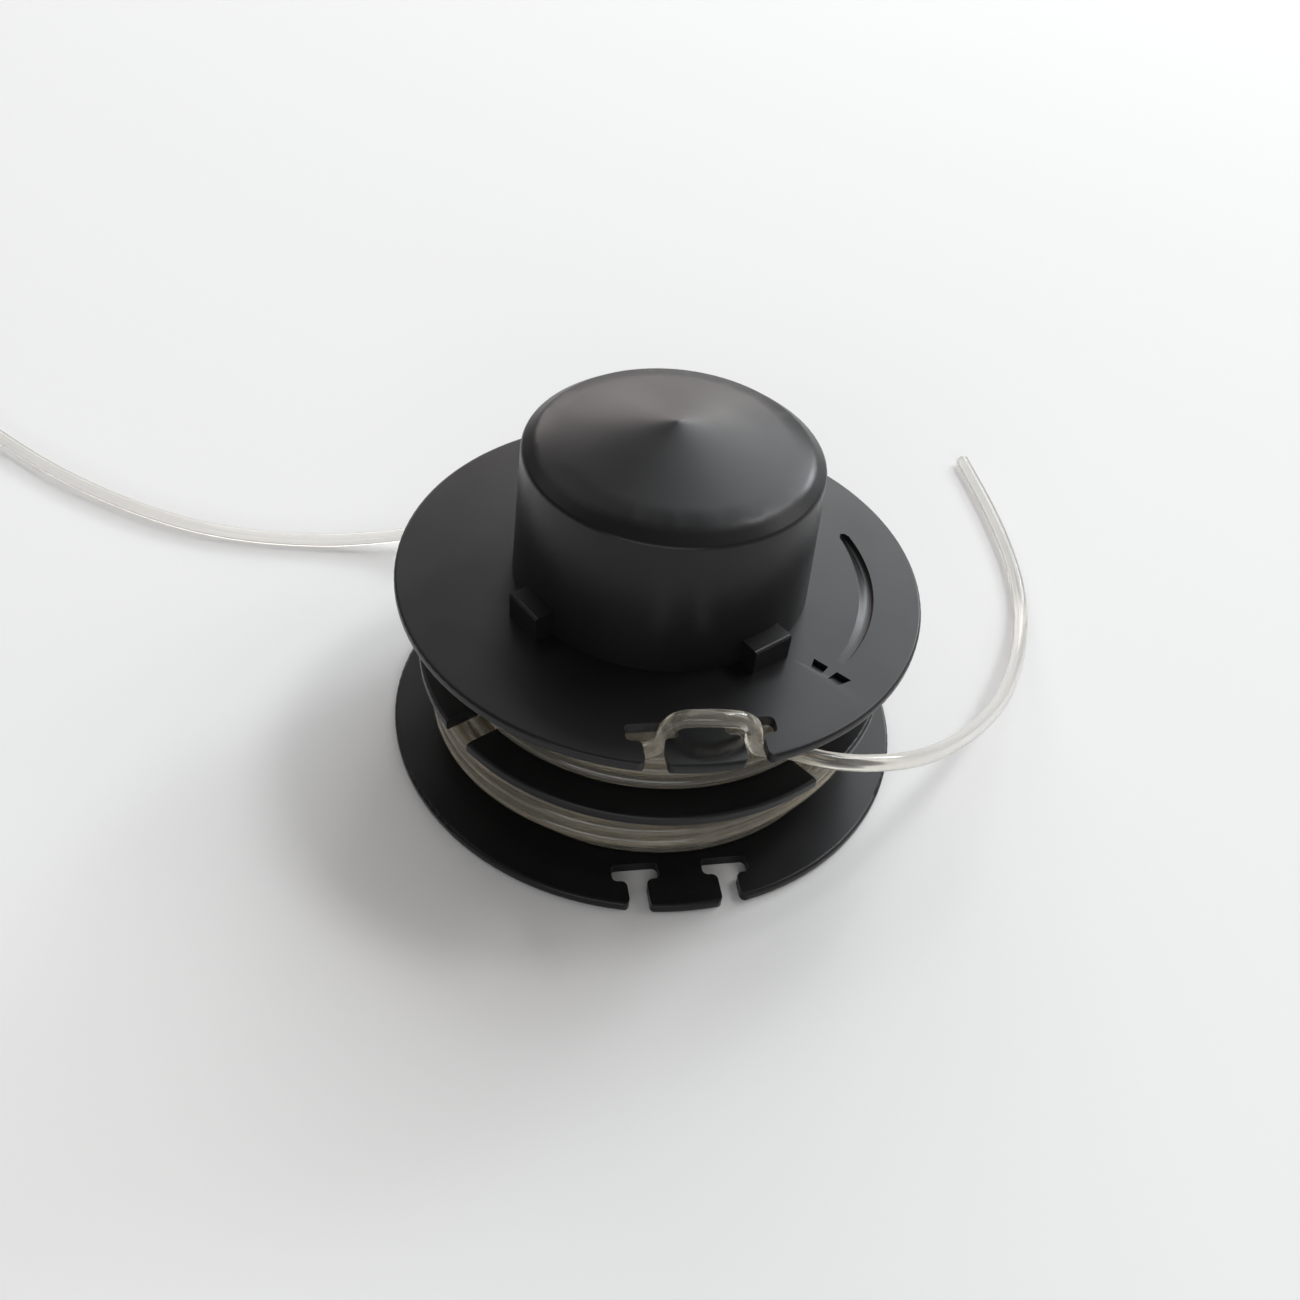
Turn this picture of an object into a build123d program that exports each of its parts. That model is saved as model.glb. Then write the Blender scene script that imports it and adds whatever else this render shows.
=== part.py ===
from build123d import *

import os
from math import floor, hypot, pi, radians, sqrt, tan

# A twin-line trimmer spool. It stands on its lower flange, with its axis on Z.
# One moulding carries two windings of nylon line, and each line has a free tail.
# Lengths are in millimetres and angles in degrees. The front of the spool is -Y.

# Flanges, divider and drum
LOWER_FLANGE_RADIUS = 33.6
UPPER_FLANGE_RADIUS = 32.5
FLANGE_THICKNESS = 1.4
DIVIDER_RADIUS = 30.0
DIVIDER_THICKNESS = 1.6
CHAMBER_HEIGHT = 10.4
DRUM_RADIUS = 19.0
DRUM_WALL = 1.8
RIM_ROUND = 0.45

# Bump knob
KNOB_FOOT_RADIUS = 18.3
KNOB_SHOULDER_RADIUS = 17.6
KNOB_WALL = 1.8
KNOB_WALL_HEIGHT = 17.3
SHOULDER_BAND_WIDTH = 2.1
SHOULDER_BAND_HEIGHT = 1.5
SHOULDER_ROUND = 0.8
CONE_RISE = 2.7
TIP_ROUND = 3.0
CAP_THICKNESS = 2.0

# Lugs at the knob's foot and slots in the divider
LUG_COUNT = 4
LUG_AZIMUTH = -47.5
LUG_LENGTH = 5.4
LUG_PROJECTION = 2.2
LUG_HEIGHT = 3.4
LUG_ROUND = 0.4
DIVIDER_SLOT_WIDTH = 4.4
DIVIDER_SLOT_DEPTH = 6.5
DIVIDER_SLOT_AZIMUTHS = (-136.6, -40.4, 43.4, 139.6)

# Pairs of T-shaped line notches in both flanges, one pair for each line
NOTCH_PAIRS = 2
NOTCH_PAIR_AZIMUTH = -76.2
NOTCH_SPACING = 11.1
NOTCH_STEM_WIDTH = 2.4
NOTCH_BAR_LENGTH = 5.8
NOTCH_BAR_WIDTH = 2.4
NOTCH_BAR_ROUND = 0.7
TONGUE_LENGTH = 4.25
NOTCH_MOUTH_ROUND = 0.9
NOTCH_CORNER_ROUND = 0.8

# Hollow inside: guide boss with the spindle's bore, and the pockets that the drive hub turns
BOSS_RADIUS = 5.6
BOSS_BORE_RADIUS = 3.1
BOSS_LENGTH = 16.5
BOSS_BORE_DEPTH = 14.5
POCKET_COUNT = 8
POCKET_HEIGHT = 7.0
POCKET_WIDTH = 3.0
POCKET_DEPTH = 0.9
POCKET_SETBACK = 2.5

# Nylon line
LINE_DIAMETER = 2.0
UPPER_LAYERS = 4
LOWER_LAYERS = 4
LOWER_LOOSE_TURNS = 3

# Levels worked out from the sizes above
LOWER_FLOOR = FLANGE_THICKNESS
DIVIDER_BOTTOM = LOWER_FLOOR + CHAMBER_HEIGHT
UPPER_FLOOR = DIVIDER_BOTTOM + DIVIDER_THICKNESS
UPPER_FLANGE_BOTTOM = UPPER_FLOOR + CHAMBER_HEIGHT
UPPER_FLANGE_TOP = UPPER_FLANGE_BOTTOM + FLANGE_THICKNESS
SHOULDER_LEVEL = UPPER_FLANGE_TOP + KNOB_WALL_HEIGHT
CONE_EDGE_LEVEL = SHOULDER_LEVEL + SHOULDER_BAND_HEIGHT
CONE_EDGE_RADIUS = KNOB_SHOULDER_RADIUS - SHOULDER_BAND_WIDTH
CEILING_RADIUS = KNOB_SHOULDER_RADIUS - KNOB_WALL
CEILING_LEVEL = SHOULDER_LEVEL - CAP_THICKNESS
CEILING_RISE = CONE_RISE * CEILING_RADIUS / CONE_EDGE_RADIUS
DRUM_BORE_RADIUS = DRUM_RADIUS - DRUM_WALL

# Routes of the free tails, from the winding to the bare end
UPPER_TAIL_ROUTE = [
    (-15.3, -23.5, 19.7),
    (-8.6, -26.5, 20.3),
    (-2.9, -27.6, 20.9),
    (2.71, -27.19, 22.0),
    (2.71, -27.19, 26.9),
    (7.5, -27.6, 28.5),
    (12.31, -25.81, 26.9),
    (12.31, -25.81, 22.4),
    (15.8, -25.1, 22.2),
    (18.3, -25.4, 22.0),
    (21.6, -25.4, 21.5),
    (26.0, -24.3, 20.7),
    (31.0, -21.4, 18.8),
    (36.4, -16.0, 15.7),
    (42.0, -8.2, 12.0),
    (47.3, 0.9, 8.2),
    (51.5, 11.3, 4.8),
    (54.5, 21.3, 2.3),
    (56.2, 30.6, 1.1),
    (56.2, 40.0, 1.05),
    (55.0, 49.8, 1.05),
    (53.0, 59.8, 1.05),
    (50.7, 69.2, 1.05),
]
LOWER_TAIL_ROUTE = [
    (18.9, 22.7, 6.6),
    (11.5, 27.2, 6.7),
    (3.2, 29.8, 6.8),
    (-6.0, 30.6, 6.8),
    (-15.5, 30.9, 6.4),
    (-24.5, 30.2, 5.4),
    (-33.0, 29.0, 3.9),
    (-41.0, 27.7, 2.3),
    (-48.8, 26.4, 1.25),
    (-56.6, 25.4, 1.05),
    (-64.5, 25.1, 1.05),
    (-72.4, 26.0, 1.05),
    (-80.5, 28.2, 1.05),
    (-88.9, 31.4, 1.05),
    (-97.9, 35.7, 1.05),
    (-107.8, 41.6, 1.05),
    (-117.0, 47.8, 1.05),
]


def polar_copies(shape, count, first_azimuth):
    """Copies of a shape about the spool's axis, at even spacing."""
    return [Rot(0, 0, first_azimuth + 360 * i / count) * shape for i in range(count)]


def turned(*points):
    """The solid that a closed half profile of (radius, level) points makes about Z."""
    outline = make_face(Polyline(*[(r, 0, z) for r, z in points], close=True))
    return revolve(outline, Axis.Z)


def disc(radius, bottom, thickness):
    """A disc on the axis with a rim that is rounded as far as its thickness allows."""
    plate = Pos(0, 0, bottom) * extrude(Circle(radius), thickness)
    return fillet(plate.edges(), min(RIM_ROUND, 0.48 * thickness))


def notch_outline(flange_radius, middle):
    """One T that holds the line, as seen from above, with its stem along X at Y = middle."""
    bar_outer = flange_radius - TONGUE_LENGTH
    bar_middle = bar_outer - NOTCH_BAR_WIDTH / 2
    bar = Pos(bar_middle, middle) * RectangleRounded(NOTCH_BAR_WIDTH, NOTCH_BAR_LENGTH, NOTCH_BAR_ROUND)
    stem_length = flange_radius - bar_middle
    stem = Pos(bar_middle + stem_length / 2, middle) * Rectangle(stem_length, NOTCH_STEM_WIDTH)
    notch = bar + stem
    at_stem = [v for v in notch.vertices() if abs(abs(v.Y - middle) - NOTCH_STEM_WIDTH / 2) < 0.01]
    inner_corners = [v for v in at_stem if v.X < bar_outer + 0.01]
    arm = (NOTCH_BAR_LENGTH - NOTCH_STEM_WIDTH) / 2 - NOTCH_BAR_ROUND
    return fillet(inner_corners, min(NOTCH_CORNER_ROUND, 0.9 * arm))


def mouth_corner(flange_radius, stem_edge, outward):
    """What is cut away to round the corner between a stem's edge, at Y = stem_edge, and the rim."""
    centre_y = stem_edge + outward * NOTCH_MOUTH_ROUND
    centre_x = sqrt((flange_radius - NOTCH_MOUTH_ROUND) ** 2 - centre_y**2)
    centre = Vector(centre_x, centre_y)
    on_stem = Vector(centre_x, stem_edge)
    on_rim = centre * (flange_radius / (flange_radius - NOTCH_MOUTH_ROUND))
    past_stem = Vector(flange_radius, stem_edge)
    past_rim = on_rim + (past_stem - on_stem)
    corner = make_face(Polyline(on_stem, past_stem, past_rim, on_rim, close=True))
    return corner - Pos(centre) * Circle(NOTCH_MOUTH_ROUND)


def notched_flange(radius, bottom):
    """A flange with its pairs of line notches."""
    flange = disc(radius, bottom, FLANGE_THICKNESS)
    for side in (-1, 1):
        middle = side * NOTCH_SPACING / 2
        notch = notch_outline(radius, middle)
        for outward in (-1, 1):
            notch += mouth_corner(radius, middle + outward * NOTCH_STEM_WIDTH / 2, outward)
        cutter = Pos(0, 0, bottom) * extrude(notch, FLANGE_THICKNESS)
        flange -= polar_copies(cutter, NOTCH_PAIRS, NOTCH_PAIR_AZIMUTH)
    return flange


def divider():
    """The disc between the chambers, with slots for the middle of the line."""
    root = DIVIDER_RADIUS - DIVIDER_SLOT_DEPTH
    slot_length = DIVIDER_SLOT_DEPTH + RIM_ROUND
    slot = Pos(root + slot_length / 2, 0, DIVIDER_BOTTOM) * extrude(
        Rectangle(slot_length, DIVIDER_SLOT_WIDTH), DIVIDER_THICKNESS
    )
    plate = disc(DIVIDER_RADIUS, DIVIDER_BOTTOM, DIVIDER_THICKNESS)
    for azimuth in DIVIDER_SLOT_AZIMUTHS:
        plate -= Rot(0, 0, azimuth) * slot
    return plate


def knob():
    """The knob's outer form: a slightly tapered wall, a shoulder band and a conical top."""
    slope = CONE_RISE / CONE_EDGE_RADIUS
    tip = CONE_EDGE_LEVEL + CONE_RISE
    body = turned(
        (0, UPPER_FLANGE_BOTTOM),
        (KNOB_FOOT_RADIUS, UPPER_FLANGE_BOTTOM),
        (KNOB_FOOT_RADIUS, UPPER_FLANGE_TOP),
        (KNOB_SHOULDER_RADIUS, SHOULDER_LEVEL),
        (CONE_EDGE_RADIUS, CONE_EDGE_LEVEL),
        (0, tip),
    )
    shoulder = body.edges().filter_by(GeomType.CIRCLE).group_by(Axis.Z)[-2]
    body = fillet(shoulder, SHOULDER_ROUND)
    # A ball that touches the cone rounds its tip.
    drop = TIP_ROUND * sqrt(1 + slope**2)
    ball_level = tip - drop
    touch_radius = TIP_ROUND * slope / sqrt(1 + slope**2)
    touch_level = tip - slope * touch_radius
    above = Pos(0, 0, touch_level) * extrude(Circle(CONE_EDGE_RADIUS), CONE_RISE)
    return body - (above - Pos(0, 0, ball_level) * Sphere(TIP_ROUND))


def lug():
    """One block at the knob's foot, on +X, with a rounded outer top edge."""
    inner = KNOB_FOOT_RADIUS - 0.75 * KNOB_WALL
    outer = KNOB_FOOT_RADIUS + LUG_PROJECTION
    block = Pos((inner + outer) / 2, 0, UPPER_FLANGE_TOP) * extrude(
        Rectangle(outer - inner, LUG_LENGTH), LUG_HEIGHT
    )
    return fillet(block.faces().sort_by(Axis.X)[-1].edges().sort_by(Axis.Z)[-1], LUG_ROUND)


def hollow():
    """The space inside, open at the bottom, with a ceiling that follows the cone."""
    return turned(
        (0, 0),
        (DRUM_BORE_RADIUS, 0),
        (DRUM_BORE_RADIUS, UPPER_FLANGE_BOTTOM),
        (KNOB_FOOT_RADIUS - KNOB_WALL, UPPER_FLANGE_TOP),
        (CEILING_RADIUS, CEILING_LEVEL),
        (0, CEILING_LEVEL + CEILING_RISE),
    )


def guide_boss():
    """The tube under the knob's top that runs on the spindle."""
    bottom = CEILING_LEVEL - BOSS_LENGTH
    top = CEILING_LEVEL + CEILING_RISE + CAP_THICKNESS / 2
    tube = Pos(0, 0, bottom) * extrude(Circle(BOSS_RADIUS), top - bottom)
    bore = Pos(0, 0, bottom) * extrude(Circle(BOSS_BORE_RADIUS), BOSS_BORE_DEPTH)
    return tube - bore


def drive_pocket():
    """The cut for one pocket in the drum's inner wall, on +X."""
    return Pos(DRUM_BORE_RADIUS, 0, POCKET_SETBACK) * extrude(
        Rectangle(2 * POCKET_DEPTH, POCKET_WIDTH), POCKET_HEIGHT
    )


def spool():
    """The whole moulding."""
    drum = extrude(Circle(DRUM_RADIUS), UPPER_FLANGE_TOP)
    outside = drum + notched_flange(LOWER_FLANGE_RADIUS, 0)
    outside += divider()
    outside += notched_flange(UPPER_FLANGE_RADIUS, UPPER_FLANGE_BOTTOM)
    outside += knob()
    outside += polar_copies(lug(), LUG_COUNT, LUG_AZIMUTH)
    shell = outside - hollow()
    shell += guide_boss()
    shell -= polar_copies(drive_pocket(), POCKET_COUNT, 0)
    return shell


def layer_radius(layer):
    """The radius of the turns' centres in a layer; each layer lies in the grooves of the last."""
    return DRUM_RADIUS + LINE_DIAMETER * (0.5 + layer * sqrt(3) / 2)


def turns_that_fit():
    """How many turns lie beside each other in a chamber."""
    return floor(CHAMBER_HEIGHT / LINE_DIAMETER)


def full_winding_rows(chamber_floor, layers):
    """(radius, level) of each turn in the outermost full layer."""
    radius = layer_radius(layers - 1)
    return [(radius, chamber_floor + LINE_DIAMETER * (k + 0.5)) for k in range(turns_that_fit())]


def loose_winding_rows(chamber_floor, layers, loose_turns):
    """The outermost full layer with some turns of one more layer lying on it."""
    below = full_winding_rows(chamber_floor, layers)
    loose_turns = min(loose_turns, len(below) - 1)
    first = len(below) - 1 - loose_turns
    radius = layer_radius(layers)
    loose = [(radius, chamber_floor + LINE_DIAMETER * (first + 1 + k)) for k in range(loose_turns)]
    return below[: first + 1] + loose + below[first + loose_turns :]


def winding(rows):
    """A winding as one solid, ridged by its outermost turns, whose section's centres are rows."""
    radius = LINE_DIAMETER / 2
    first_r, first_z = rows[0]
    last_r, last_z = rows[-1]
    joints = [(first_r, first_z - radius)]
    for (r0, z0), (r1, z1) in zip(rows, rows[1:]):
        joints.append(((r0 + r1) / 2, (z0 + z1) / 2))
    joints.append((last_r, last_z + radius))
    ridges = []
    for (r, z), start, end in zip(rows, joints, joints[1:]):
        across = (end[1] - start[1], start[0] - end[0])
        size = hypot(*across)
        crest = (r + radius * across[0] / size, z + radius * across[1] / size)
        ridges.append(ThreePointArc(*[(a, 0, b) for a, b in (start, crest, end)]))
    sides = Polyline(
        (*joints[-1][:1], 0, joints[-1][1]),
        (DRUM_RADIUS, 0, joints[-1][1]),
        (DRUM_RADIUS, 0, joints[0][1]),
        (*joints[0][:1], 0, joints[0][1]),
    )
    return revolve(make_face(ridges + [sides]), Axis.Z)


def line_tube(name, route):
    """A round tube along a route whose corners are as wide as their runs allow."""
    points = [Vector(*p) for p in route]
    runs = [b - a for a, b in zip(points, points[1:])]
    radii = []
    for before, after in zip(runs, runs[1:]):
        half_turn = radians(before.get_angle(after)) / 2
        radii.append(0.45 * min(before.length, after.length) / tan(half_turn))
    path = FilletPolyline(*points, radius=radii)
    tube = sweep(Plane(path @ 0, z_dir=path % 0) * Circle(LINE_DIAMETER / 2), path)
    plain_volume = pi * LINE_DIAMETER**2 / 4 * path.length
    print(name, "length", round(path.length, 1), "volume ratio", round(tube.volume / plain_volume, 4))
    print(name, "radii", [round(r, 1) for r in radii])
    return tube


NODES = {
    "spool": spool(),
    "upper_winding": winding(full_winding_rows(UPPER_FLOOR, UPPER_LAYERS)),
    "lower_winding": winding(loose_winding_rows(LOWER_FLOOR, LOWER_LAYERS, LOWER_LOOSE_TURNS)),
    "upper_tail": line_tube("upper_tail", UPPER_TAIL_ROUTE),
    "lower_tail": line_tube("lower_tail", LOWER_TAIL_ROUTE),
}

os.makedirs("parts", exist_ok=True)
for node, shape in NODES.items():
    export_step(shape, f"parts/{node}.step")
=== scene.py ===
"""Dresses a twin-line trimmer spool: the black moulding, its two nylon lines and a plain stage."""

from math import cos, hypot, pi, radians, sin, sqrt

import bmesh
import bpy
from mathutils import Euler, Matrix, Vector


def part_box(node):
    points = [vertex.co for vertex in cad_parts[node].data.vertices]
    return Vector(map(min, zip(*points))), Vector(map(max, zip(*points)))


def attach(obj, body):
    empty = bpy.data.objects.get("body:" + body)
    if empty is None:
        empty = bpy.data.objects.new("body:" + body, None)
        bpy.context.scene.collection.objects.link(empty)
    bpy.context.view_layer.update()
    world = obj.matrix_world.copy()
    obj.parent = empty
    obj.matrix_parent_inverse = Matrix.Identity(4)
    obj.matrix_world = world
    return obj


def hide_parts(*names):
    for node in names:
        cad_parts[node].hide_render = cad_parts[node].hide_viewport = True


bl_info = {
    "name": "Trimmer line spool",
    "version": (1, 0, 0),
    "blender": (4, 5, 0),
    "location": "View3D > Sidebar > Spool",
    "description": "Makes a black trimmer spool wound with two clear nylon lines",
    "category": "Object",
}

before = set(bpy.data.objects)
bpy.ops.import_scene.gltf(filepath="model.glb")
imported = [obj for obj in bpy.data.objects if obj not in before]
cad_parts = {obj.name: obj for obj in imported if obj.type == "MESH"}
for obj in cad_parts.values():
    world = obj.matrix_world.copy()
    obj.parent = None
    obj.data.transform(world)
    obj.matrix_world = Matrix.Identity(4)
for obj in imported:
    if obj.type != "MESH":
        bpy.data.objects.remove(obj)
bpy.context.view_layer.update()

MM = 0.001
BODY = "root"
FULL_TURN = 2 * pi
# Azimuth of the spool's back, where the turns step from row to row
BACK = pi / 2
# Points nearer to each other than this are joined
WELD_DISTANCE = 0.001 * MM
# How far the arrow's cutter stands above the flange
CUTTER_HEIGHT = 1 * MM
# Rise of a layer that lies in the grooves of the one below, in line diameters
LAYER_RISE = sqrt(3) / 2

# The free tails' routes in millimetres, from the winding to the bare end
UPPER_TAIL_ROUTE = [
    (-15.3, -23.5, 19.7),
    (-8.6, -26.5, 20.3),
    (-2.9, -27.6, 20.9),
    (2.71, -27.19, 22.0),
    (2.71, -27.19, 26.9),
    (7.5, -27.6, 28.5),
    (12.31, -25.81, 26.9),
    (12.31, -25.81, 22.4),
    (15.8, -25.1, 22.2),
    (18.3, -25.4, 22.0),
    (21.6, -25.4, 21.5),
    (26.0, -24.3, 20.7),
    (31.0, -21.4, 18.8),
    (36.4, -16.0, 15.7),
    (42.0, -8.2, 12.0),
    (47.3, 0.9, 8.2),
    (51.5, 11.3, 4.8),
    (54.5, 21.3, 2.3),
    (56.2, 30.6, 1.1),
    (56.2, 40.0, 1.05),
    (55.0, 49.8, 1.05),
    (53.0, 59.8, 1.05),
    (50.7, 69.2, 1.05),
]
LOWER_TAIL_ROUTE = [
    (18.9, 22.7, 6.6),
    (11.5, 27.2, 6.7),
    (3.2, 29.8, 6.8),
    (-6.0, 30.6, 6.8),
    (-15.5, 30.9, 6.4),
    (-24.5, 30.2, 5.4),
    (-33.0, 29.0, 3.9),
    (-41.0, 27.7, 2.3),
    (-48.8, 26.4, 1.25),
    (-56.6, 25.4, 1.05),
    (-64.5, 25.1, 1.05),
    (-72.4, 26.0, 1.05),
    (-80.5, 28.2, 1.05),
    (-88.9, 31.4, 1.05),
    (-97.9, 35.7, 1.05),
    (-107.8, 41.6, 1.05),
    (-117.0, 47.8, 1.05),
]

WHITE = (1, 1, 1)
COOL = (0.93, 0.98, 1)
WARM = (1, 0.93, 0.9)
LAMP_DISTANCE = 2.6
# Azimuth and elevation in degrees, width and height in metres, radiance and colour of each lamp
LAMPS = {
    "overhead_lamp": (50, 74, 2.2, 2.2, 0.12, WHITE),
    "window_lamp": (64, 39, 1.9, 1.6, 3.2, COOL),
    "window_core": (52, 25, 0.48, 0.48, 15, COOL),
    "back_lamp": (101, 22, 2.0, 0.8, 3.2, WARM),
    "key_lamp": (34, 54, 0.52, 0.52, 13, WHITE),
    "right_lamp": (16, 36, 0.9, 0.9, 2.4, WARM),
    "left_lamp": (150, 47, 1.6, 1.6, 0.7, WARM),
    "front_lamp": (-95, 22, 2.8, 1.0, 2.2, WHITE),
}


def points_of(node):
    """The points of a CAD node's mesh."""
    return [v.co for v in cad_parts[node].data.vertices]


def upper_flange_top():
    """The level of the upper flange's top face: the highest point outside the knob."""
    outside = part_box("upper_winding")[1].x
    return max(p.z for p in points_of("spool") if hypot(p.x, p.y) > outside)


def knob_foot_radius():
    """The radius where the knob's wall meets the upper flange's top face."""
    top = upper_flange_top()
    level_error = 0.01 * MM
    return min(hypot(p.x, p.y) for p in points_of("spool") if abs(p.z - top) < level_error)


def drum_radius():
    """The radius that the innermost turns lie on."""
    return min(hypot(p.x, p.y) for p in points_of("upper_winding"))


class MouldingSettings(bpy.types.PropertyGroup):
    """The black plastic moulding and the turning arrow sunk into its upper flange."""

    colour: bpy.props.FloatVectorProperty(
        name="Plastic colour", description="Colour of the moulded plastic", subtype="COLOR",
        size=4, min=0, max=1, default=(0.0095, 0.0095, 0.0105, 1),
    )
    roughness: bpy.props.FloatProperty(
        name="Roughness", description="Mean roughness of the moulded skin",
        min=0, max=1, default=0.315,
    )
    foot_fillet: bpy.props.FloatProperty(
        name="Foot fillet", description="Radius of the hollow fillet round the knob's foot",
        unit="LENGTH", default=1.2 * MM,
    )
    arrow_radius: bpy.props.FloatProperty(
        name="Arrow radius", description="Radius of the arrow's shaft about the spool's axis",
        unit="LENGTH", default=25.6 * MM,
    )
    arrow_width: bpy.props.FloatProperty(
        name="Arrow width", description="Greatest width of the arrow's shaft", unit="LENGTH",
        default=1.9 * MM,
    )
    arrow_depth: bpy.props.FloatProperty(
        name="Arrow depth", description="Greatest depth of the arrow", unit="LENGTH",
        default=0.75 * MM,
    )
    arrow_start: bpy.props.FloatProperty(
        name="Arrow start", description="Azimuth of the shaft's deep end", subtype="ANGLE",
        default=radians(26.5),
    )
    arrow_fade: bpy.props.FloatProperty(
        name="Arrow fade", description="Azimuth where the shaft runs out", subtype="ANGLE",
        default=radians(-31),
    )
    arrow_neck: bpy.props.FloatProperty(
        name="Arrow neck", description="Azimuth of the barbs' base", subtype="ANGLE",
        default=radians(-34.4),
    )
    arrow_barb_length: bpy.props.FloatProperty(
        name="Arrow barb length", description="How far each barb runs from its base",
        unit="LENGTH", default=1.7 * MM,
    )
    arrow_head_width: bpy.props.FloatProperty(
        name="Arrow head width", description="Width over both barbs at their base", unit="LENGTH",
        default=5.2 * MM,
    )
    arrow_head_gap: bpy.props.FloatProperty(
        name="Arrow head gap", description="Gap between the barbs at their base", unit="LENGTH",
        default=1.2 * MM,
    )


class LineSettings(bpy.types.PropertyGroup):
    """The two nylon lines."""

    diameter: bpy.props.FloatProperty(
        name="Diameter", description="Diameter of the nylon line", unit="LENGTH", default=2.0 * MM,
    )
    layers: bpy.props.IntProperty(
        name="Layers", description="Full layers of turns in each chamber", min=1, default=4,
    )
    lower_loose_turns: bpy.props.IntProperty(
        name="Loose turns", description="Turns that lie on the lower winding", min=0, default=3,
    )
    points_per_turn: bpy.props.IntProperty(
        name="Points per turn", description="Control points in each turn", min=12, default=16,
    )
    sides: bpy.props.IntProperty(
        name="Sides", description="Sides of the line's round section", min=8, default=16,
    )
    colour: bpy.props.FloatVectorProperty(
        name="Nylon colour", description="Colour of the clear nylon in the free tails",
        subtype="COLOR", size=4, min=0, max=1, default=(0.91, 0.895, 0.86, 1),
    )
    # Painted reflection: a warmer colour laid on the nylon inside the spool, standing in for the
    # room's warm light seen in the windings
    painted_reflection_colour: bpy.props.FloatVectorProperty(
        name="Wound colour", description="Warmer colour of the nylon that lies in the spool",
        subtype="COLOR", size=4, min=0, max=1, default=(0.91, 0.855, 0.735, 1),
    )
    clearness: bpy.props.FloatProperty(
        name="Clearness", description="Share of the light that passes through the nylon",
        min=0, max=1, default=0.92,
    )
    slack: bpy.props.FloatProperty(
        name="Slack", description="How far the loose turns stand out at one side", unit="LENGTH",
        default=0.9 * MM,
    )
    slack_azimuth: bpy.props.FloatProperty(
        name="Slack azimuth", description="Where the loose turns stand out most", subtype="ANGLE",
        default=radians(-145),
    )
    lift: bpy.props.FloatProperty(
        name="Lift", description="How far the loose turns ride up at the other side",
        unit="LENGTH", default=1.2 * MM,
    )
    lift_azimuth: bpy.props.FloatProperty(
        name="Lift azimuth", description="Where the loose turns ride up most", subtype="ANGLE",
        default=radians(-40),
    )


class StageSettings(bpy.types.PropertyGroup):
    """The floor, the room and the camera."""

    floor_colour: bpy.props.FloatVectorProperty(
        name="Floor colour", description="Colour of the plain floor", subtype="COLOR",
        size=4, min=0, max=1, default=(0.9, 0.9, 0.9, 1),
    )
    room_dark: bpy.props.FloatProperty(
        name="Room dark side", description="Brightness of the room to the left",
        min=0, default=0.1,
    )
    room_light: bpy.props.FloatProperty(
        name="Room light side", description="Brightness of the room to the right",
        min=0, default=0.45,
    )
    camera_place: bpy.props.FloatVectorProperty(
        name="Camera place", description="Place of the lens", subtype="XYZ", unit="LENGTH",
        default=(0.0, -119.9 * MM, 123.95 * MM),
    )
    camera_down: bpy.props.FloatProperty(
        name="Camera tilt", description="How far the camera looks down", subtype="ANGLE",
        default=radians(43.91),
    )
    camera_roll: bpy.props.FloatProperty(
        name="Camera roll", description="How far the camera leans to its left", subtype="ANGLE",
        default=radians(6.92),
    )


def link(obj):
    """Puts an object into the scene."""
    bpy.context.scene.collection.objects.link(obj)
    return obj


def new_material(name):
    """A material with an empty node tree and its output node."""
    material = bpy.data.materials.new(name)
    material.use_nodes = True
    material.node_tree.nodes.clear()
    output = material.node_tree.nodes.new("ShaderNodeOutputMaterial")
    return material, material.node_tree, output


def add_node(tree, kind, **inputs):
    """A node of a tree, with some of its inputs set by name."""
    node = tree.nodes.new(kind)
    for name, value in inputs.items():
        node.inputs[name.replace("_", " ")].default_value = value
    return node


def object_noise(tree, scale, detail):
    """Noise over the object's own coordinates."""
    place = add_node(tree, "ShaderNodeTexCoord")
    noise = add_node(tree, "ShaderNodeTexNoise", Scale=scale, Detail=detail)
    tree.links.new(place.outputs["Object"], noise.inputs["Vector"])
    return noise.outputs["Fac"]


def ranged(tree, value, low, high):
    """A noise value, mostly 0.3 to 0.7, spread between low and high."""
    spread = add_node(
        tree, "ShaderNodeMapRange", From_Min=0.3, From_Max=0.7, To_Min=low, To_Max=high,
    )
    tree.links.new(value, spread.inputs["Value"])
    return spread.outputs["Result"]


def black_plastic(settings):
    """Satin black moulded plastic with a fine skin and cloudy gloss."""
    material, tree, output = new_material("black_moulded_plastic")
    shader = add_node(tree, "ShaderNodeBsdfPrincipled", Base_Color=settings.colour, IOR=1.36)
    cloud = object_noise(tree, scale=140, detail=3)
    spread = 0.03
    gloss = ranged(tree, cloud, settings.roughness - spread, settings.roughness + spread)
    tree.links.new(gloss, shader.inputs["Roughness"])
    grain = object_noise(tree, scale=5200, detail=2)
    skin = add_node(tree, "ShaderNodeBump", Strength=0.12, Distance=0.02 * MM)
    tree.links.new(grain, skin.inputs["Height"])
    tree.links.new(skin.outputs["Normal"], shader.inputs["Normal"])
    tree.links.new(shader.outputs["BSDF"], output.inputs["Surface"])
    return material


def axis_distance(tree):
    """Distance from the spool's axis."""
    place = add_node(tree, "ShaderNodeTexCoord")
    flat = add_node(tree, "ShaderNodeVectorMath")
    flat.operation = "MULTIPLY"
    flat.inputs[1].default_value = (1, 1, 0)
    tree.links.new(place.outputs["Object"], flat.inputs[0])
    distance = add_node(tree, "ShaderNodeVectorMath")
    distance.operation = "LENGTH"
    tree.links.new(flat.outputs["Vector"], distance.inputs[0])
    return distance.outputs["Value"]


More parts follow.
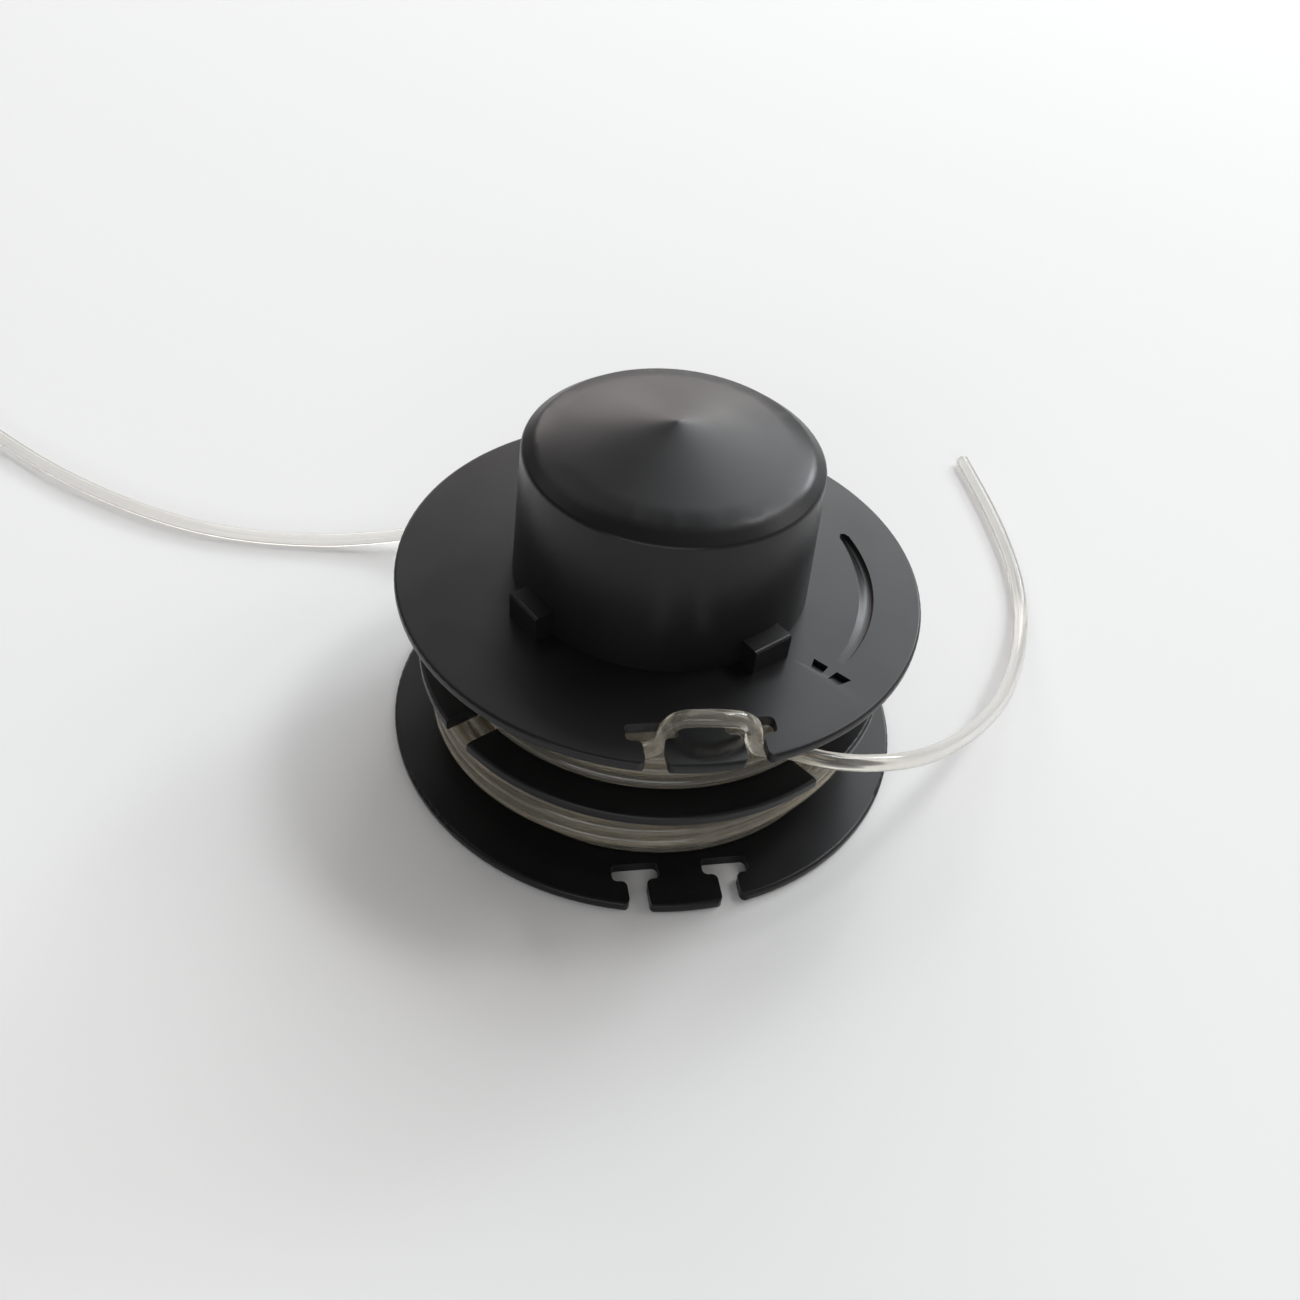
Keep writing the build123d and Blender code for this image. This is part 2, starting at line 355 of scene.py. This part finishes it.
def clear_nylon(settings):
    """Clear nylon with a painted warm reflection inside the spool: nearly all light passes
    through, the rest scatters.
    """
    material, tree, output = new_material("clear_nylon")
    shader = add_node(
        tree, "ShaderNodeBsdfPrincipled", IOR=1.53, Transmission_Weight=settings.clearness,
    )
    # The base colour runs from the painted warm reflection inside the spool to the nylon's own
    # colour out in the tails
    in_spool, in_tail = 29 * MM, 40 * MM
    way_out = add_node(tree, "ShaderNodeMapRange", From_Min=in_spool, From_Max=in_tail)
    tree.links.new(axis_distance(tree), way_out.inputs["Value"])
    colour_and_painted_reflection = add_node(tree, "ShaderNodeValToRGB")
    colour_and_painted_reflection.color_ramp.elements[0].color = settings.painted_reflection_colour
    colour_and_painted_reflection.color_ramp.elements[1].color = settings.colour
    tree.links.new(way_out.outputs["Result"], colour_and_painted_reflection.inputs["Fac"])
    tree.links.new(colour_and_painted_reflection.outputs["Color"], shader.inputs["Base Color"])
    draw_marks = object_noise(tree, scale=700, detail=2)
    gloss = ranged(tree, draw_marks, low=0.1, high=0.16)
    tree.links.new(gloss, shader.inputs["Roughness"])
    tree.links.new(shader.outputs["BSDF"], output.inputs["Surface"])
    return material


def at_level(radius, azimuth, level):
    """The point at a radius and azimuth about the spool's axis and at a level."""
    return Vector((radius * cos(azimuth), radius * sin(azimuth), level))


def scoop(u):
    """Depth across the shaft, 1 at the deepest, with a gentle inner wall and a steep outer one."""
    return 1.717 * (u - u**6)


def shaft_rings(settings, top):
    """Sections of the arrow's shaft, a scoop that fades out before the head."""
    clear = 0.03 * MM
    sections, steps_across = 40, 14
    start_square, start_growth = 0.2, 32
    end_width = 0.7
    faded, fade_power = 0.92, 1.5
    across = [1 - i / steps_across for i in range(steps_across + 1)]
    rings = []
    for i in range(sections + 1):
        along = i / sections
        azimuth = settings.arrow_start + (settings.arrow_fade - settings.arrow_start) * along
        round_start = min(1, sqrt(start_square + start_growth * along))
        swell = end_width + (1 - end_width) * sin(pi * along)
        width = settings.arrow_width * swell * round_start
        depth = settings.arrow_depth * (1 - faded * along**fade_power) * round_start + clear
        inner = settings.arrow_radius - width / 2
        ring = [
            at_level(inner + width * u, azimuth, top + clear - depth * scoop(u)) for u in across
        ]
        ring += [at_level(inner + width * u, azimuth, top + CUTTER_HEIGHT) for u in (0, 1)]
        rings.append(ring)
    return rings


def barb_rings(settings, side, top):
    """The floor and the roof of one barb, deep at its base and rising to the flange's face."""
    near = settings.arrow_head_gap / 2
    far = settings.arrow_head_width / 2
    narrowed = 0.75
    clear = 0.02 * MM
    end = settings.arrow_neck - settings.arrow_barb_length / settings.arrow_radius
    corners = [
        (near, settings.arrow_neck, -settings.arrow_depth),
        (far, settings.arrow_neck, -settings.arrow_depth),
        (far * narrowed, end, clear),
        (near * narrowed, end, clear),
    ]
    corners = [
        (settings.arrow_radius + side * off, azimuth, rise) for off, azimuth, rise in corners
    ]
    floor = [at_level(radius, azimuth, top + rise) for radius, azimuth, rise in corners]
    roof = [at_level(radius, azimuth, top + CUTTER_HEIGHT) for radius, azimuth, _ in corners]
    return [floor, roof]


def add_solid(shape, rings):
    """Adds a closed solid through rings that have the same number of points."""
    loops = [[shape.verts.new(point) for point in ring] for ring in rings]
    for loop, after in zip(loops, loops[1:]):
        for i in range(len(loop)):
            shape.faces.new((loop[i - 1], loop[i], after[i], after[i - 1]))
    shape.faces.new(loops[0])
    shape.faces.new(loops[-1])


def tool_object(name, shape):
    """An object for a Boolean modifier, made from a mesh in work."""
    bmesh.ops.recalc_face_normals(shape, faces=shape.faces)
    bmesh.ops.triangulate(shape, faces=shape.faces)
    mesh = bpy.data.meshes.new(name)
    shape.to_mesh(mesh)
    shape.free()
    return link(bpy.data.objects.new(name, mesh))


def arrow_cutter(settings, top):
    """The solids that sink the arrow's shaft and its two barbs into the flange."""
    shape = bmesh.new()
    add_solid(shape, shaft_rings(settings, top))
    for side in (-1, 1):
        add_solid(shape, barb_rings(settings, side, top))
    return tool_object("arrow_cutter", shape)


def foot_ring(settings, top):
    """A ring with a hollow face that rounds the corner between the knob and the flange."""
    foot = knob_foot_radius()
    size = settings.foot_fillet
    buried = 0.3 * MM
    arc_steps, round_steps = 6, 160
    hollow = [radians(90 * i / arc_steps) for i in range(arc_steps + 1)]
    section = [(size * (1 - sin(t)), size * (1 - cos(t))) for t in hollow]
    section += [(-buried, size), (-buried, -buried), (size, -buried)]
    shape = bmesh.new()
    azimuths = [FULL_TURN * i / round_steps for i in range(round_steps)]
    loops = [
        [shape.verts.new(at_level(foot + out, azimuth, top + up)) for out, up in section]
        for azimuth in azimuths
    ]
    for i, loop in enumerate(loops):
        before = loops[i - 1]
        for j in range(len(section)):
            shape.faces.new((before[j - 1], before[j], loop[j], loop[j - 1]))
    return tool_object("foot_ring", shape)


def bake(obj):
    """Turns what the modifiers make of an object into its plain mesh."""
    graph = bpy.context.evaluated_depsgraph_get()
    mesh = bpy.data.meshes.new_from_object(
        obj.evaluated_get(graph), preserve_all_data_layers=True, depsgraph=graph
    )
    obj.modifiers.clear()
    obj.data = mesh
    mesh.name = obj.name


def combine(target, tool, operation):
    """Adds or cuts away a tool object, which is then removed."""
    modifier = target.modifiers.new(tool.name, "BOOLEAN")
    modifier.object = tool
    modifier.operation = operation
    modifier.solver = "EXACT"
    faces = len(target.data.polygons)
    bake(target)
    bpy.data.objects.remove(tool)
    if len(target.data.polygons) <= faces:
        raise RuntimeError(f"{operation} changed nothing on {target.name}")


def merged_copy(node, name):
    """A copy of a CAD node's mesh with its loose triangles joined and its old shading dropped."""
    shape = bmesh.new()
    shape.from_mesh(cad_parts[node].data)
    bmesh.ops.remove_doubles(shape, verts=shape.verts, dist=WELD_DISTANCE)
    mesh = bpy.data.meshes.new(name)
    plain = bmesh.new()
    corners = {v: plain.verts.new(v.co) for v in shape.verts}
    for face in shape.faces:
        plain.faces.new([corners[v] for v in face.verts])
    plain.to_mesh(mesh)
    plain.free()
    shape.free()
    return link(bpy.data.objects.new(name, mesh))


def weld(obj):
    """Joins points that lie together, so that the cuts leave no loose slivers."""
    shape = bmesh.new()
    shape.from_mesh(obj.data)
    bmesh.ops.remove_doubles(shape, verts=shape.verts, dist=WELD_DISTANCE)
    shape.to_mesh(obj.data)
    shape.free()


class TRIMMERSPOOL_OT_moulding(bpy.types.Operator):
    """Make the black moulding with its turning arrow"""

    bl_idname = "trimmer_spool.moulding"
    bl_label = "Spool moulding"

    def execute(self, context):
        settings = context.scene.spool_moulding
        moulding = merged_copy("spool", "spool_moulding")
        top = upper_flange_top()
        combine(moulding, foot_ring(settings, top), "UNION")
        combine(moulding, arrow_cutter(settings, top), "DIFFERENCE")
        weld(moulding)
        moulding.data.shade_smooth()
        moulding.data.set_sharp_from_angle(angle=radians(32))
        even = moulding.modifiers.new("Even shading", "WEIGHTED_NORMAL")
        even.keep_sharp = True
        bake(moulding)
        moulding.data.materials.clear()
        moulding.data.materials.append(black_plastic(settings))
        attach(moulding, BODY)
        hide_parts("spool")
        return {"FINISHED"}


def smooth_step(t):
    """A smooth rise from 0 to 1 while t does the same."""
    t = min(max(t, 0), 1)
    return t * t * (3 - 2 * t)


def layer_rows(floor, turns, diameter, layers, loose_turns):
    """The radius and level of each turn in winding order; layers lie in the grooves below."""
    rows = []
    first = drum_radius() + diameter / 2
    for layer in range(layers):
        radius = first + layer * diameter * LAYER_RISE
        from_outside = layers - 1 - layer
        short = from_outside % 2
        levels = [floor + diameter * (k + 0.5 + short / 2) for k in range(turns - short)]
        rows += [(radius, z) for z in (levels[::-1] if short else levels)]
    on_top = first + layers * diameter * LAYER_RISE
    rows += [(on_top, floor + diameter * (turns - 1 - k)) for k in range(loose_turns)]
    return rows


def bump(azimuth, middle, reach):
    """A smooth bump of height 1 around a middle azimuth."""
    off = (azimuth - middle + pi) % FULL_TURN - pi
    return cos(pi / 2 * min(abs(off) / reach, 1)) ** 2


def wound_points(rows, loose_turns, end, lead, held, settings):
    """Control points of the turns, which step from row to row and then lead to the end."""
    step = FULL_TURN / settings.points_per_turn
    drawn_in = cos(step / 2)
    crossing = radians(24)
    early_end = radians(60)
    slack_reach, lift_reach = radians(60), radians(50)
    end_azimuth = Vector((end[0], end[1])).angle_signed(Vector((1, 0)))
    while end_azimuth < BACK + FULL_TURN * len(rows) - early_end:
        end_azimuth += FULL_TURN
    end_radius = hypot(end[0], end[1])
    points = []
    for i in range(int((end_azimuth - BACK) / step)):
        azimuth = BACK + i * step
        turn = (azimuth - BACK) / FULL_TURN
        row = min(int(turn), len(rows) - 1)
        radius, level = rows[row]
        past = (turn - row) * FULL_TURN
        if row + 1 < len(rows) and past > FULL_TURN - crossing:
            share = smooth_step((past - FULL_TURN + crossing) / crossing)
            radius += (rows[row + 1][0] - radius) * share
            level += (rows[row + 1][1] - level) * share
        if row >= len(rows) - loose_turns:
            radius += settings.slack * bump(azimuth, settings.slack_azimuth, slack_reach)
            level += settings.lift * bump(azimuth, settings.lift_azimuth, lift_reach)
        to_end = end_azimuth - azimuth
        radius += (end_radius - radius) * smooth_step((lead - to_end) / (lead - held))
        level += (end[2] - level) * smooth_step((lead - to_end) / lead)
        points.append(at_level(radius / drawn_in, azimuth, level))
    return points


def smooth_line(points):
    """The points of a smooth NURBS line along a list of control points."""
    curve = bpy.data.curves.new("line_route", "CURVE")
    curve.dimensions = "3D"
    spline = curve.splines.new("NURBS")
    spline.points.add(len(points) - 1)
    for place, point in zip(spline.points, points):
        place.co = (*point, 1)
    spline.order_u = 3
    spline.use_endpoint_u = True
    spline.resolution_u = 8
    route = bpy.data.objects.new("line_route", curve)
    mesh = bpy.data.meshes.new_from_object(route)
    line = [v.co.copy() for v in mesh.vertices]
    bpy.data.objects.remove(route)
    bpy.data.curves.remove(curve)
    bpy.data.meshes.remove(mesh)
    return line


def line_tube_tree():
    """A node tree that turns a row of points into a round line with closed ends."""
    tree = bpy.data.node_groups.new("Round line", "GeometryNodeTree")
    for name, way, kind in (
        ("Geometry", "INPUT", "NodeSocketGeometry"),
        ("Diameter", "INPUT", "NodeSocketFloat"),
        ("Sides", "INPUT", "NodeSocketInt"),
        ("Material", "INPUT", "NodeSocketMaterial"),
        ("Geometry", "OUTPUT", "NodeSocketGeometry"),
    ):
        tree.interface.new_socket(name, in_out=way, socket_type=kind)
    given = tree.nodes.new("NodeGroupInput")
    made = tree.nodes.new("NodeGroupOutput")
    half = tree.nodes.new("ShaderNodeMath")
    half.operation = "DIVIDE"
    half.inputs[1].default_value = 2
    path = tree.nodes.new("GeometryNodeMeshToCurve")
    section = tree.nodes.new("GeometryNodeCurvePrimitiveCircle")
    tube = tree.nodes.new("GeometryNodeCurveToMesh")
    tube.inputs["Fill Caps"].default_value = True
    smooth = tree.nodes.new("GeometryNodeSetShadeSmooth")
    realize = tree.nodes.new("GeometryNodeRealizeInstances")
    paint = tree.nodes.new("GeometryNodeSetMaterial")
    join = tree.links.new
    join(given.outputs["Geometry"], path.inputs["Mesh"])
    join(given.outputs["Diameter"], half.inputs[0])
    join(half.outputs["Value"], section.inputs["Radius"])
    join(given.outputs["Sides"], section.inputs["Resolution"])
    join(path.outputs["Curve"], tube.inputs["Curve"])
    join(section.outputs["Curve"], tube.inputs["Profile Curve"])
    join(tube.outputs["Mesh"], smooth.inputs["Geometry"])
    join(smooth.outputs["Geometry"], realize.inputs["Geometry"])
    join(realize.outputs["Geometry"], paint.inputs["Geometry"])
    join(given.outputs["Material"], paint.inputs["Material"])
    join(paint.outputs["Geometry"], made.inputs["Geometry"])
    return tree


def set_inputs(modifier, **values):
    """Sets a node modifier's inputs by the identifiers of its named sockets."""
    for socket in modifier.node_group.interface.items_tree:
        if socket.in_out == "INPUT" and socket.name in values:
            modifier[socket.identifier] = values[socket.name]


def make_line(name, winding, route, loose_turns, lead, held, tree, material, settings):
    """One nylon line: its turns, the stretch that leads out of them and its free tail.

    The angle of that stretch is lead, and its last part, held, keeps the tail's radius.
    """
    low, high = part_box(winding)
    turns = round((high.z - low.z) / settings.diameter)
    tail = [Vector(p) * MM for p in route]
    rows = layer_rows(low.z, turns, settings.diameter, settings.layers, loose_turns)
    path = smooth_line(wound_points(rows, loose_turns, tail[0], lead, held, settings) + tail)
    mesh = bpy.data.meshes.new(name)
    mesh.from_pydata(path, [(i, i + 1) for i in range(len(path) - 1)], [])
    line = link(bpy.data.objects.new(name, mesh))
    tube = line.modifiers.new("Round line", "NODES")
    tube.node_group = tree
    set_inputs(tube, Diameter=settings.diameter, Sides=settings.sides, Material=material)
    bake(line)
    line.data.set_sharp_from_angle(angle=radians(50))
    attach(line, BODY)
    return line


class TRIMMERSPOOL_OT_lines(bpy.types.Operator):
    """Wind both nylon lines and lay out their tails"""

    bl_idname = "trimmer_spool.lines"
    bl_label = "Nylon lines"

    def execute(self, context):
        settings = context.scene.spool_line
        tree = line_tube_tree()
        nylon = clear_nylon(settings)
        upper = make_line(
            "upper_line", "upper_winding", UPPER_TAIL_ROUTE, loose_turns=0, lead=radians(150),
            held=radians(60), tree=tree, material=nylon, settings=settings,
        )
        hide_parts("upper_winding", "upper_tail")
        lower = make_line(
            "lower_line", "lower_winding", LOWER_TAIL_ROUTE, settings.lower_loose_turns,
            lead=radians(100), held=0, tree=tree, material=nylon, settings=settings,
        )
        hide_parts("lower_winding", "lower_tail")
        return {"FINISHED"}


def make_camera(settings):
    """A camera at the viewing angle, framed on a square picture."""
    camera = bpy.data.cameras.new("camera")
    camera.lens = 34.615
    camera.sensor_width = 36
    camera.shift_x = 0.0007
    camera.shift_y = 0.0111
    camera.clip_start = 1 * MM
    camera.clip_end = 20
    obj = link(bpy.data.objects.new("camera", camera))
    tilt = Euler((pi / 2 - settings.camera_down, 0, 0)).to_matrix()
    roll = Matrix.Rotation(settings.camera_roll, 3, "Z")
    obj.matrix_world = Matrix.LocRotScale(Vector(settings.camera_place), tilt @ roll, None)
    bpy.context.scene.camera = obj


def soft_lamp(name, azimuth, elevation, width, height, radiance, colour):
    """A soft lamp that faces the spool from an azimuth and elevation in degrees."""
    lamp = bpy.data.lights.new(name, "AREA")
    lamp.shape = "RECTANGLE"
    lamp.size = width
    lamp.size_y = height
    lamp.energy = radiance * pi * width * height
    lamp.color = colour
    away = LAMP_DISTANCE * cos(radians(elevation))
    up = LAMP_DISTANCE * sin(radians(elevation))
    place = at_level(away, radians(azimuth), up)
    obj = link(bpy.data.objects.new(name, lamp))
    obj.location = place
    obj.rotation_euler = place.to_track_quat("Z", "Y").to_euler()


def make_room(settings):
    """A room that is pale behind the spool and to its right, and darker elsewhere."""
    world = bpy.data.worlds.new("room")
    world.use_nodes = True
    tree = world.node_tree
    background = tree.nodes["Background"]
    background.inputs["Color"].default_value = (1, 1, 1, 1)
    direction = add_node(tree, "ShaderNodeTexCoord")
    light_side = (0.8, 0.6, -0.1)
    towards = add_node(tree, "ShaderNodeVectorMath")
    towards.operation = "DOT_PRODUCT"
    towards.inputs[1].default_value = light_side
    fade = add_node(
        tree, "ShaderNodeMapRange", From_Min=-0.5, From_Max=0.8,
        To_Min=settings.room_dark, To_Max=settings.room_light,
    )
    tree.links.new(direction.outputs["Generated"], towards.inputs[0])
    tree.links.new(towards.outputs["Value"], fade.inputs["Value"])
    tree.links.new(fade.outputs["Result"], background.inputs["Strength"])
    bpy.context.scene.world = world


def make_floor(settings):
    """A wide plain floor under the spool."""
    half_width = 3
    shape = bmesh.new()
    bmesh.ops.create_grid(shape, x_segments=1, y_segments=1, size=half_width)
    mesh = bpy.data.meshes.new("floor")
    shape.to_mesh(mesh)
    shape.free()
    floor = link(bpy.data.objects.new("floor", mesh))
    material, tree, output = new_material("pale_floor")
    matt = add_node(tree, "ShaderNodeBsdfDiffuse", Color=settings.floor_colour)
    tree.links.new(matt.outputs["BSDF"], output.inputs["Surface"])
    mesh.materials.append(material)


class TRIMMERSPOOL_OT_stage(bpy.types.Operator):
    """Set the floor, the lamps and the camera"""

    bl_idname = "trimmer_spool.stage"
    bl_label = "Stage"

    def execute(self, context):
        settings = context.scene.spool_stage
        make_camera(settings)
        make_floor(settings)
        make_room(settings)
        for name, values in LAMPS.items():
            soft_lamp(name, *values)
        context.scene.view_settings.view_transform = "Standard"
        return {"FINISHED"}


class TRIMMERSPOOL_PT_panel(bpy.types.Panel):
    """The spool's pieces and sizes in the sidebar"""

    bl_label = "Trimmer line spool"
    bl_space_type = "VIEW_3D"
    bl_region_type = "UI"
    bl_category = "Spool"

    def draw(self, context):
        scene = context.scene
        for operator, settings in (
            ("trimmer_spool.moulding", scene.spool_moulding),
            ("trimmer_spool.lines", scene.spool_line),
            ("trimmer_spool.stage", scene.spool_stage),
        ):
            box = self.layout.box()
            box.operator(operator)
            for name in settings.__annotations__:
                box.prop(settings, name)


CLASSES = (
    MouldingSettings,
    LineSettings,
    StageSettings,
    TRIMMERSPOOL_OT_moulding,
    TRIMMERSPOOL_OT_lines,
    TRIMMERSPOOL_OT_stage,
    TRIMMERSPOOL_PT_panel,
)


def register():
    for cls in CLASSES:
        bpy.utils.register_class(cls)
    bpy.types.Scene.spool_moulding = bpy.props.PointerProperty(type=MouldingSettings)
    bpy.types.Scene.spool_line = bpy.props.PointerProperty(type=LineSettings)
    bpy.types.Scene.spool_stage = bpy.props.PointerProperty(type=StageSettings)


def unregister():
    del bpy.types.Scene.spool_stage
    del bpy.types.Scene.spool_line
    del bpy.types.Scene.spool_moulding
    for cls in reversed(CLASSES):
        bpy.utils.unregister_class(cls)


def main():
    register()
    bpy.ops.trimmer_spool.moulding()
    bpy.ops.trimmer_spool.lines()
    bpy.ops.trimmer_spool.stage()
    bpy.context.view_layer.update()


if __name__ == "__main__":
    main()
